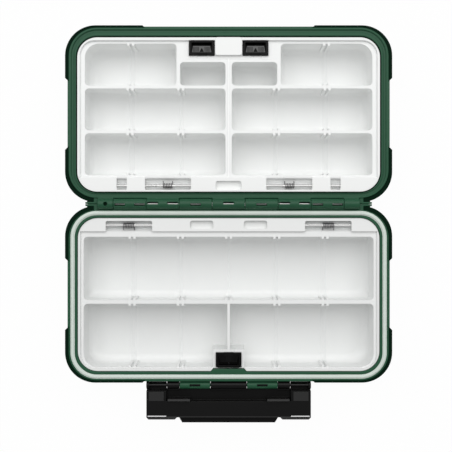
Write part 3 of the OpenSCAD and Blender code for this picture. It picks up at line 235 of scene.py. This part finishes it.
class Finish:
    """The nodes of one material, or of the sky."""

    def __init__(self, owner):
        owner.use_nodes = True
        self.owner, self.tree = owner, owner.node_tree
        self.tree.nodes.clear()

    def add(self, kind, settings=None, inputs=None, out=0):
        """A node of that kind: its settings first, then the values or links of its sockets."""
        node = self.tree.nodes.new(kind)
        for name, value in (settings or {}).items():
            setattr(node, name, value)
        for name, value in (inputs or {}).items():
            socket = node.inputs[name]
            if isinstance(value, Value):
                self.tree.links.new(value.socket, socket)
            else:
                socket.default_value = value
        return Value(self, node.outputs[out]) if len(node.outputs) else None

    def place(self, scale=(1, 1, 1)):
        """Object coordinates, stretched by scale."""
        at = self.add("ShaderNodeTexCoord", out="Object")
        return self.add("ShaderNodeMapping", {}, {"Vector": at, "Scale": scale})

    def along(self, axis):
        """Place along the axis X, Y or Z."""
        return self.add("ShaderNodeSeparateXYZ", {}, {"Vector": self.place()}, out=axis)

    def between(self, low, high):
        """Mask: 1 between low and high along Y."""
        y = self.along("Y")
        return y.maths("GREATER_THAN", low) * y.maths("LESS_THAN", high)

    def noise(self, scale, detail, rough, at=None):
        """Noise between 0 and 1, in scale cells a metre."""
        return self.add("ShaderNodeTexNoise", {}, {
            "Vector": at or self.place(), "Scale": scale, "Detail": detail, "Roughness": rough})

    def mix(self, factor, first, second):
        """Colour between first and second."""
        ends = {0: factor, 6: first, 7: second}
        return self.add("ShaderNodeMix", {"data_type": "RGBA"}, ends, out=2)

    def rounded(self, radius):
        """Normal with edges rounded by radius."""
        return self.add("ShaderNodeBevel", {"samples": 6}, {"Radius": radius})

    def edges(self, soft, gain):
        """Mask of the edges: 1 where the rounded normal leaves the flat one."""
        both = {0: soft, 1: self.add("ShaderNodeNewGeometry", out="True Normal")}
        same = self.add("ShaderNodeVectorMath", {"operation": "DOT_PRODUCT"}, both, out="Value")
        return ((1.0 - same) * gain).held()

    def bump(self, height, strength, distance, normal):
        """Normal with the grain of height added to it."""
        return self.add("ShaderNodeBump", {}, {
            "Height": height, "Strength": strength, "Distance": distance, "Normal": normal})

    def surface(self, **inputs):
        """The plastic, rubber or metal itself, linked to the material's output."""
        sockets = {name.replace("_", " "): value for name, value in inputs.items()}
        shader = self.add("ShaderNodeBsdfPrincipled", {}, sockets)
        self.add("ShaderNodeOutputMaterial", {"is_active_output": True}, {"Surface": shader})
        return self.owner


def alpha1(rgb, gain=1.0):
    """That colour times gain, with an alpha of 1."""
    return tuple(min(1.0, c * gain) for c in rgb) + (1.0,)


def moulded(name, tone, rough, edge, edge_wear_and_highlight, grain=0.0, gloss=0.3, raised=()):
    """Moulded plastic: fine spark grain, slow patches of sheen and tone, and lighter edges from
    wear and a painted highlight.

    Edges are rounded by edge and drawn lighter by the factor after it: partly wear, partly a
    painted highlight along them.
    raised holds (height, low, high, tone): that tone lies over the height, between low and high
    along Y.
    """
    f = Finish(bpy.data.materials.new(name))
    soft = f.rounded(edge)
    # Lighter edges: partly wear, partly a painted highlight along them.
    worn_and_highlit = f.edges(soft, gain=1.5)
    cloud = f.noise(scale=38.0, detail=3.0, rough=0.55)
    fine = f.noise(scale=2600.0, detail=2.0, rough=0.6)
    body = f.mix(cloud, alpha1(tone, 0.90), alpha1(tone, 1.10))
    for above, low, high, lighter in raised:
        over = f.along("Z").maths("GREATER_THAN", above) * f.between(low, high)
        body = f.mix(over, body, alpha1(lighter))
    return f.surface(
        Base_Color=f.mix(worn_and_highlit * 0.5, body, alpha1(tone, edge_wear_and_highlight)),
        Roughness=(rough - 0.06) + cloud * 0.12 + fine * 0.05,
        Normal=f.bump(fine, strength=0.25 + grain, distance=0.04 * MM, normal=soft),
        IOR=1.48,
        Specular_IOR_Level=gloss,
    )


def rubber(name, tone):
    """Matt rubber: dusty patches and a fine open grain."""
    f = Finish(bpy.data.materials.new(name))
    dust = f.noise(scale=60.0, detail=4.0, rough=0.6)
    fine = f.noise(scale=1800.0, detail=3.0, rough=0.65)
    soft = f.rounded(0.3 * MM)
    return f.surface(
        Base_Color=f.mix(dust, alpha1(tone, 0.94), alpha1(tone, 1.04)),
        Roughness=0.62 + fine * 0.16,
        Normal=f.bump(fine, strength=0.3, distance=0.05 * MM, normal=soft),
        IOR=1.5,
    )


def white_tray(name, tone, edge):
    """White satin plastic: faint flow marks along the mould, soft edges and a fine grain."""
    f = Finish(bpy.data.materials.new(name))
    flow = f.noise(scale=22.0, detail=3.0, rough=0.5, at=f.place((0.35, 1.0, 1.0)))
    fine = f.noise(scale=1500.0, detail=2.0, rough=0.5)
    return f.surface(
        Base_Color=f.mix(flow, alpha1(tone, 0.975), alpha1(tone, 1.015)),
        Roughness=0.34 + flow * 0.10 + fine * 0.05,
        Normal=f.bump(fine, strength=0.15, distance=0.03 * MM, normal=f.rounded(edge)),
        IOR=1.49,
    )


def clear_plastic(name, tone, thin, rim, glance, frosted=None):
    """Clear plastic: nearly unseen face on, more so at glancing angles and along its edges.

    Its alpha is thin face on, with up to rim more at edges and glance more at glancing angles. Its
    edges are also drawn darker, as painted shade for the light bent at them.
    frosted is (low, high, amount): between low and high along Y, that much less clear.
    """
    f = Finish(bpy.data.materials.new(name))
    soft = f.rounded(0.4 * MM)
    painted_edge_lines = f.edges(soft, gain=2.2)
    slant = f.add("ShaderNodeLayerWeight", {}, {"Blend": 0.25}, out="Fresnel")
    haze = f.noise(scale=90.0, detail=3.0, rough=0.6)
    body = (thin + haze * 0.02) + slant * glance
    if frosted:
        low, high, amount = frosted
        body = body + f.between(low, high) * amount
    return f.surface(
        # Darker edges: painted shade for light bent at the sheet's edges.
        Base_Color=f.mix(painted_edge_lines, alpha1(tone), alpha1(tone, 0.85)),
        Roughness=0.10 + haze * 0.04,
        Alpha=(body + painted_edge_lines * rim).held(),
        Normal=soft,
        IOR=1.5,
    )


def drawn_steel(name, tone):
    """Drawn wire and pins: bright metal with faint lines along it and duller patches."""
    f = Finish(bpy.data.materials.new(name))
    lines = f.noise(scale=5200.0, detail=2.0, rough=0.6, at=f.place((0.04, 1.0, 1.0)))
    dull = f.noise(scale=260.0, detail=3.0, rough=0.55)
    soft = f.rounded(0.12 * MM)
    return f.surface(
        Base_Color=f.mix(lines, alpha1(tone, 0.82), alpha1(tone, 1.15)),
        Metallic=1.0,
        Roughness=0.22 + dull * 0.16,
        Normal=f.bump(lines, strength=0.2, distance=0.02 * MM, normal=soft),
    )


# ---------- surfaces ----------


def ring(span, radii, inset, steps, spread=-1.0):
    """Rounded rectangles, one for each inset, as an array (inset, point, 2), anticlockwise.

    span is (x0, x1, y0, y1). Corner k has the radius R = radii[k] + spread * inset, and its centre
    lies R + inset inside the corner, so a point is centre + R (cos a, sin a) for a over the
    quarter turn k, in so many steps. A spread of -1 gives true offsets.
    """
    x0, x1, y0, y1 = span
    inset = np.atleast_1d(inset)[:, None, None]
    r = np.asarray(radii, float)[None, :, None] + spread * inset
    a = (np.arange(4)[:, None] + np.linspace(0, 1, steps)[None, :]) * math.pi / 2
    sx = np.array([1, -1, -1, 1])[None, :, None]
    sy = np.array([1, 1, -1, -1])[None, :, None]
    cx = np.where(sx > 0, x1, x0) - sx * (r + inset)
    cy = np.where(sy > 0, y1, y0) - sy * (r + inset)
    x, y = cx + r * np.cos(a)[None], cy + r * np.sin(a)[None]
    return np.stack([x, y], -1).reshape(inset.shape[0], -1, 2)


def lifted(rings, height):
    """Rings (row, point, 2) with the height of their row as the third coordinate."""
    rise = np.broadcast_to(height[:, None, None], rings.shape[:2] + (1,))
    return np.concatenate([rings, rise], -1)


def skin(grid, loop_rows=False):
    """Vertices of a grid (row, point, 3) of closed rows, and its faces, a list of index arrays."""
    rows, points = grid.shape[:2]
    starts = np.arange(rows if loop_rows else rows - 1)
    i, j = np.meshgrid(starts, np.arange(points), indexing="ij")
    i2, j2 = (i + 1) % rows, (j + 1) % points
    quads = np.stack([i * points + j, i * points + j2, i2 * points + j2, i2 * points + j], -1)
    return grid.reshape(-1, 3), [quads.reshape(-1, 4)]


def fan(start, points, centre, back):
    """Triangles from a ring of points to one centre vertex."""
    j = np.arange(points)
    k = (j + 1) % points
    tri = np.stack([start + j, start + k, np.full(points, centre)], -1)
    return tri[:, ::-1] if back else tri


def piece(name, parts, body, finish, base=False, smooth=40):
    """One piece from parts (vertices in mm in the half frame, faces), riding on a body.

    The half frame is moved to the part's frame by y = AXIS_Y + y for the lid and AXIS_Y - y for
    the base, which turns the faces round. Edges over smooth degrees look sharp.
    """
    verts, faces, count = [], [], 0
    for v, arrays in parts:
        verts.append(v)
        faces += [face for f in arrays for face in ((f[:, ::-1] if base else f) + count).tolist()]
        count += len(v)
    v = np.concatenate(verts) * (1, -1 if base else 1, 1) + (0, AXIS_Y, 0)
    mesh = bpy.data.meshes.new(name)
    mesh.from_pydata((v * MM).tolist(), [], faces)
    mesh.validate()
    mesh.shade_smooth()
    mesh.set_sharp_from_angle(angle=math.radians(smooth))
    mesh.materials.append(finish)
    obj = bpy.data.objects.new(name, mesh)
    bpy.context.scene.collection.objects.link(obj)
    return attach(obj, body)


def tube(path, radius, sides=10):
    """A closed tube along path.

    A ring of radius r lies square to the path at each point: p + r (cos a u + sin a v), with
    t the path's direction, u = t x g for the guide g, and v = t x u.
    """
    step = np.gradient(path, axis=0)
    t = step / np.linalg.norm(step, axis=1, keepdims=True)
    guide = np.where(np.abs(t[:, :1]) > 0.9, [[0, 0, 1.0]], [[1.0, 0, 0]])
    u = np.cross(t, guide)
    u /= np.linalg.norm(u, axis=1, keepdims=True)
    v = np.cross(t, u)
    a = np.linspace(0, 2 * math.pi, sides, endpoint=False)[None, :, None]
    grid = path[:, None] + radius * (np.cos(a) * u[:, None] + np.sin(a) * v[:, None])
    verts, (quads,) = skin(grid)
    n = len(verts)
    verts = np.concatenate([verts, path[:1], path[-1:]])
    return verts, [quads, fan(0, sides, n, True), fan(n - sides, sides, n + 1, False)]


def torsion_path(x, y, curls):
    """Middle line of a torsion spring round a pin at (y, PIN_Z), with its coil's middle at x.

    A leg under the pin, then (x0 + pitch s, y + R cos a, z + R sin a) with a = 270 - 360 s degrees
    for s from 0 to curls + 1/2, then a leg over the pin.
    """
    s = np.linspace(0, curls + 0.5, int(CURL_POINTS * (curls + 0.5)) + 1)
    a = np.radians(270 - 360 * s)
    x0 = x - curls * CURL_PITCH / 2
    turn = [x0 + CURL_PITCH * s, y + COIL_R * np.cos(a), PIN_Z + COIL_R * np.sin(a)]
    coil = np.stack(turn, 1)
    out = np.linspace(0, 1, 6)[1:, None]
    first = coil[0] + (out[::-1] * LEG) * (0, 1, 0)
    last = coil[-1] + (out * LEG) * (0, 1, 0)
    return np.concatenate([first, coil, last])


def return_path(x, y0, y1, z):
    """Middle line of a return spring from y0 to y1.

    (x + R cos a, y0 + (y1 - y0) s / curls, z + R sin a) with a = 360 s degrees for s from 0 to
    its curls.
    """
    s = np.linspace(0, RETURN_CURLS, CURL_POINTS * RETURN_CURLS + 1)
    a = 2 * math.pi * s
    y = y0 + (y1 - y0) * s / RETURN_CURLS
    return np.stack([x + RETURN_COIL_R * np.cos(a), y, z + RETURN_COIL_R * np.sin(a)], 1)


def scoop(span, radii, radius, spread=0.35):
    """Concave rounding round the foot of one compartment's walls, as a closed ring.

    The inset d and the height z run over a quarter circle: d = R - R cos t, z = foot + R - R sin t,
    for t from 0 to 90 degrees. Both ends run a little into the wall and the floor, and the back of
    the ring lies deeper inside them. The corners' radii grow by spread times the inset.
    """
    t = np.linspace(0, math.pi / 2, 9)[1:-1]
    end = radius + SCOOP_TOE
    d = np.concatenate([
        [-SCOOP_BACK, -SCOOP_SINK], radius - radius * np.cos(t), [end, end, -SCOOP_BACK]])
    rise = np.concatenate([
        [end, end], radius - radius * np.sin(t), [-SCOOP_SINK, -SCOOP_BACK, -SCOOP_BACK]])
    rings = ring(span, radii, d, steps=8, spread=spread)
    return skin(lifted(rings, POCKET_Z + rise), loop_rows=True)


def scoop_pair(span, outer_r, radius, **options):
    """Scoops of a compartment on the right and of its mirror image on the left.

    outer_r is the corner radius on the side of the case's front corner.
    """
    x0, x1, y0, y1 = span
    r = POCKET_R
    return [scoop((x0, x1, y0, y1), (outer_r, r, r, r), radius, **options),
            scoop((-x1, -x0, y0, y1), (r, outer_r, r, r), radius, **options)]


def plate(x, thick, span, foot_r, top_r, soft):
    """A divider: a flat plate with rounded corners and softened rims. span is (y0, y1, z0, z1).

    Rings of the outline (in Y and Z) shrink by an inset while X runs across the thickness:
    middle, flat face, quarter-round rim, the other rim, flat face, middle.
    """
    t = np.linspace(0, math.pi / 2, 4)
    inner = [soft * 3]
    d = np.concatenate([inner, soft - soft * np.sin(t), soft - soft * np.sin(t[::-1]), inner])
    rim = soft - soft * np.cos(t)
    e = np.concatenate([[0], rim, thick - rim[::-1], [thick]])
    rings = ring(span, (top_r, top_r, foot_r, foot_r), d, steps=7)
    grid = np.roll(lifted(rings, x + thick / 2 - e), 1, axis=-1)
    verts, (quads,) = skin(grid)
    n, m = len(verts), grid.shape[1]
    y, z = (span[0] + span[1]) / 2, (span[2] + span[3]) / 2
    middles = np.array([[x + thick / 2, y, z], [x - thick / 2, y, z]])
    faces = [quads[:, ::-1], fan(0, m, n, False), fan(n - m, m, n + 1, True)]
    return np.concatenate([verts, middles]), faces


# ---------- nodes ----------


def dress(finish, *names):
    """Gives CAD nodes a finish, in their own material slots."""
    for name in names:
        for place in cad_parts[name].material_slots:
            place.material = finish


def named(*words):
    """CAD nodes whose names hold every word, sorted."""
    return sorted(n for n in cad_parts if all(w in n for w in words))


def half_box(name):
    """The half that a node belongs to, and its lowest and highest corner in mm in its frame."""
    half = name.split("_")[0]
    turn = -1 if half == "base" else 1
    lo, hi = (np.array(v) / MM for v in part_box(name))
    lo[1], hi[1] = sorted(turn * (v[1] - AXIS_Y) for v in (lo, hi))
    return half, lo, hi


def let_light_through(*objects):
    """Clear sheets cast no shadow, so light reaches what lies behind several of them."""
    for obj in objects:
        obj.visible_shadow = obj.visible_diffuse = False


# ---------- operators ----------


class BOX_OT_case(bpy.types.Operator):
    """Green shells and dark corner guards"""

    bl_idname = "lure_box.case"
    bl_label = "Case"

    def execute(self, context):
        c, edge = colours(), sizes().edge
        green = moulded("shell_plastic", c.shell, rough=0.40, edge=2 * edge, edge_wear_and_highlight=1.7)
        dark = moulded("guard_plastic", c.guard, rough=0.55, edge=1.2 * edge, edge_wear_and_highlight=2.2,
                       grain=0.2, gloss=0.03)
        dress(green, "base_shell", "lid_shell")
        dress(dark, "base_corner_guards", "lid_corner_guards")
        return {"FINISHED"}


class BOX_OT_seal(bpy.types.Operator):
    """Rubber seal with a rounded bead"""

    bl_idname = "lure_box.seal"
    bl_label = "Seal"

    def execute(self, context):
        a = np.linspace(0, math.pi, 13)
        bead, middle = sizes().bead / MM, SEAL_W / 2
        foot, shoulder = RIM_Z - SEAL_DEPTH, RIM_Z - SEAL_BEVEL
        inset = np.concatenate([
            [0, 0, SEAL_BEVEL], middle - BEAD_HALF_W * np.cos(a),
            [SEAL_W - SEAL_BEVEL, SEAL_W, SEAL_W]])
        height = np.concatenate([
            [foot, shoulder, RIM_Z], RIM_Z + bead * np.sin(a), [RIM_Z, shoulder, foot]])
        x, r = HALF_W - SEAL_SIDE, CORNER_R - SEAL_SIDE
        span = (-x, x, RIM_START + SEAL_HINGE, REACH - SEAL_FRONT)
        grid = lifted(ring(span, (r, r, r, r), inset, steps=24), height)
        obj = piece("seal_bead", [skin(grid, loop_rows=True)], "base",
                    rubber("seal_rubber", colours().seal), base=True, smooth=50)
        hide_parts("seal")
        return {"FINISHED"}


class BOX_OT_trays(bpy.types.Operator):
    """White trays and the rounding at the foot of their compartments"""

    bl_idname = "lure_box.trays"
    bl_label = "Trays"

    def execute(self, context):
        c, edge, r = colours(), sizes().edge, sizes().scoop / MM
        lid_white = white_tray("lid_tray_plastic", c.lid_tray, edge)
        # The base's white is darker than the lid's: painted shade.
        shaded_base_white = white_tray("base_tray_shaded_plastic", c.base_tray, edge)
        dress(lid_white, "lid_tray", "lid_hinge_strip")
        dress(shaded_base_white, "base_tray", "base_hinge_strip")
        lid = []
        for row in LID_ROWS[:2]:
            lid += scoop_pair((LID_CENTRE, LID_X, *row), POCKET_R, r)
        small = (LID_CENTRE, LID_SMALL, LID_ROWS[2][0], LID_SMALL_END)
        lid += scoop_pair((LID_BIG, LID_X, *LID_ROWS[2]), POCKET_OUTER_R, r)
        lid += scoop_pair(small, POCKET_R, SCOOP_SMALL * r, spread=0)
        base = [scoop((-BASE_X, BASE_X, *BASE_ROWS[0]), [POCKET_R] * 4, r)]
        base += scoop_pair((BASE_CENTRE, BASE_X, *BASE_ROWS[1]), POCKET_OUTER_R, r)
        piece("lid_tray_scoops", lid, "lid", lid_white)
        piece("base_tray_scoops", base, "base", shaded_base_white, base=True)
        return {"FINISHED"}


class BOX_OT_dividers(bpy.types.Operator):
    """Clear dividers whose lower corners follow the trays"""

    bl_idname = "lure_box.dividers"
    bl_label = "Dividers"

    def execute(self, context):
        finish = clear_plastic("divider_plastic", colours().clear, thin=0.03, rim=0.34, glance=0.10)
        foot_r = sizes().scoop / MM
        for name in named("divider"):
            half, lo, hi = half_box(name)
            span = (lo[1], hi[1], lo[2] + DIVIDER_LIFT, hi[2])
            part = plate((lo[0] + hi[0]) / 2, hi[0] - lo[0], span, foot_r, DIVIDER_TOP_R,
                         DIVIDER_RIM)
            obj = piece(name.replace("divider", "divider_plate"), [part], half,
                        finish, base=half == "base")
            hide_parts(name)
            let_light_through(obj)
        return {"FINISHED"}


class BOX_OT_covers(bpy.types.Operator):
    """Clear inner covers"""

    bl_idname = "lure_box.covers"
    bl_label = "Covers"

    def execute(self, context):
        for half, y in (("base", AXIS_Y - BASE_PIN_Y), ("lid", AXIS_Y + LID_PIN_Y)):
            barrels = ((y - BARREL_R) * MM, (y + BARREL_R) * MM, BARREL_HAZE)
            covers = [n for n in named(half, "cover") if "pin" not in n]
            finish = clear_plastic(half + "_cover_plastic", colours().clear, thin=0.03, rim=0.20,
                                   glance=0.16, frosted=barrels)
            dress(finish, *covers)
            let_light_through(*(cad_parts[n] for n in covers))
        return {"FINISHED"}


class BOX_OT_springs(bpy.types.Operator):
    """Steel pins, torsion springs and return springs"""

    bl_idname = "lure_box.springs"
    bl_label = "Pins and springs"

    def execute(self, context):
        pins = [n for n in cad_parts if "pin" in n.split("_")]
        dress(drawn_steel("steel", colours().steel), *pins)
        # The main latch's pin, drawn dark: painted shade of its recess.
        dress(drawn_steel("blackened_steel", colours().latch_pin), "main_latch_pin")
        finish = drawn_steel("spring_steel", colours().spring)
        for half, (x, y, curls) in TORSION_SPRINGS.items():
            path = torsion_path(x, y, curls)
            for side, turn in (("left", -1), ("right", 1)):
                part = tube(path * (turn, 1, 1), WIRE_R)
                obj = piece(f"{half}_torsion_wire_{side}", [part], half, finish,
                            base=half == "base")
                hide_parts(f"{half}_torsion_spring_{side}")
        for name in named("latch_spring"):
            half, lo, hi = half_box(name)
            base = half == "base"
            x, _, z = (lo + hi) / 2
            path = return_path(x, lo[1] + RETURN_WIRE_R, hi[1] - RETURN_WIRE_R, z)
            part = tube(path, RETURN_WIRE_R, sides=8)
            obj = piece(name.replace("spring", "coil"), [part], half, finish, base=base)
            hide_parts(name)
            1 - SLIDER_TRAVEL / (hi[1] - lo[1])
            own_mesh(obj)
        return {"FINISHED"}


class BOX_OT_latches(bpy.types.Operator):
    """Black main latch, latch housings and grey sliders"""

    bl_idname = "lure_box.latches"
    bl_label = "Latches"

    def execute(self, context):
        c, edge = colours(), sizes().edge
        pads, lips = (AXIS_Y - PAD_Y) * MM, (AXIS_Y - LIP_Y) * MM
        # Tones over the main latch's tops: over the plate and on the hooks they are painted
        # highlights, on the pads a grey of their own, on the lips a lighter grey.
        bands = [(LIP_AND_HIGHLIGHT_Z * MM, -FAR, FAR, c.plate), (PAD_Z * MM, -FAR, pads, c.pad),
                 (HOOK_HIGHLIGHT_Z * MM, -FAR, pads, c.hook_highlight), (LIP_AND_HIGHLIGHT_Z * MM, -FAR, lips, c.lip)]
        # Edges drawn eight and five times lighter: a painted highlight along them, besides wear.
        black = moulded("latch_plastic", c.latch, rough=0.32, edge=edge, edge_wear_and_highlight=8.0, gloss=0.17,
                        raised=bands)
        glossy = moulded("housing_plastic", c.latch, rough=0.34, edge=edge, edge_wear_and_highlight=5.0, gloss=0.12)
        dress(black, "main_latch")
        dress(glossy, *named("latch_housing"))
        for half, tone, low, high in (
                ("base", c.base_slider, -FAR, (AXIS_Y - SLIDER_Y) * MM),
                ("lid", c.lid_slider, (AXIS_Y + SLIDER_Y) * MM, FAR)):
            sliders = named(half, "slider")
            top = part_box(sliders[0])[1][2] - SLIDER_SKIN * MM
            finish = moulded(half + "_slider_plastic", c.latch, rough=0.5, edge=0.5 * edge,
                             edge_wear_and_highlight=2.0, grain=0.2, gloss=0.12, raised=[(top, low, high, tone)])
            dress(finish, *sliders)
        return {"FINISHED"}


class BOX_OT_stage(bpy.types.Operator):
    """Pale floor, lamp, sky and camera"""

    bl_idname = "lure_box.stage"
    bl_label = "Stage"

    def execute(self, context):
        scene = context.scene
        scene.view_settings.view_transform = "Standard"
        settings = scene.box_stage

        mesh = bpy.data.meshes.new("floor")
        corners = [(x * FLOOR_HALF, y * FLOOR_HALF, FLOOR_Z)
                   for x, y in ((-1, -1), (1, -1), (1, 1), (-1, 1))]
        mesh.from_pydata(corners, [], [(0, 1, 2, 3)])
        floor = bpy.data.objects.new("floor", mesh)
        scene.collection.objects.link(floor)
        f = Finish(bpy.data.materials.new("white_floor"))
        seen = f.add("ShaderNodeLightPath", out="Is Camera Ray")
        mirrored = f.add("ShaderNodeLightPath", out="Is Glossy Ray")
        glow = (seen + mirrored).held() * FLOOR_GLOW
        lit = f.add("ShaderNodeBsdfDiffuse", {}, {"Color": FLOOR_TONE})
        white = f.add("ShaderNodeEmission", {}, {"Color": WHITE, "Strength": 1.0})
        both = f.add("ShaderNodeMixShader", {}, {0: glow, 1: lit, 2: white})
        f.add("ShaderNodeOutputMaterial", {}, {"Surface": both})
        mesh.materials.append(f.owner)

        sky = Finish(bpy.data.worlds.new("pale_sky"))
        seen = sky.add("ShaderNodeLightPath", out="Is Camera Ray")
        strength = settings.sky + seen * (1.0 - settings.sky)
        shine = sky.add("ShaderNodeBackground", {}, {"Color": WHITE, "Strength": strength})
        sky.add("ShaderNodeOutputWorld", {}, {"Surface": shine})
        scene.world = sky.owner

        lamp = bpy.data.lights.new("key", "AREA")
        lamp.shape, lamp.size, lamp.size_y = "RECTANGLE", LAMP_W, LAMP_H
        lamp.energy = settings.key
        key = bpy.data.objects.new("key", lamp)
        scene.collection.objects.link(key)
        key.location = (0.0, LAMP_Y, LAMP_Z)
        key.rotation_euler = (-math.atan2(LAMP_Y, LAMP_Z), 0, 0)

        lens = bpy.data.cameras.new("camera")
        lens.lens, lens.sensor_width = settings.lens, SENSOR
        camera = bpy.data.objects.new("camera", lens)
        scene.collection.objects.link(camera)
        camera.location = np.array(settings.camera) + (0, AXIS_Y * MM, 0)
        scene.camera = camera
        return {"FINISHED"}


class BOX_PT_panel(bpy.types.Panel):
    """Colours, sizes and steps of the lure box"""

    bl_label = "Lure Box"
    bl_idname = "BOX_PT_panel"
    bl_space_type = "VIEW_3D"
    bl_region_type = "UI"
    bl_category = "Lure Box"

    def draw(self, context):
        for name in GROUPS:
            group, box = getattr(context.scene, name), self.layout.box()
            for setting in group.__annotations__:
                box.prop(group, setting)
        for step in STEPS:
            self.layout.operator(step.bl_idname)


STEPS = (BOX_OT_case, BOX_OT_seal, BOX_OT_trays, BOX_OT_dividers, BOX_OT_covers, BOX_OT_springs,
         BOX_OT_latches, BOX_OT_stage)
GROUPS = {"box_colours": BoxColours, "box_sizes": BoxSizes, "box_stage": StageSettings}


def register():
    for cls in (*GROUPS.values(), *STEPS, BOX_PT_panel):
        bpy.utils.register_class(cls)
    for name, cls in GROUPS.items():
        setattr(bpy.types.Scene, name, bpy.props.PointerProperty(type=cls))


def unregister():
    for name in GROUPS:
        delattr(bpy.types.Scene, name)
    for cls in reversed((*GROUPS.values(), *STEPS, BOX_PT_panel)):
        bpy.utils.unregister_class(cls)


def main():
    register()
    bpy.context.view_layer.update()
    for step in STEPS:
        group, name = step.bl_idname.split(".")
        getattr(getattr(bpy.ops, group), name)()


if __name__ == "__main__":
    main()
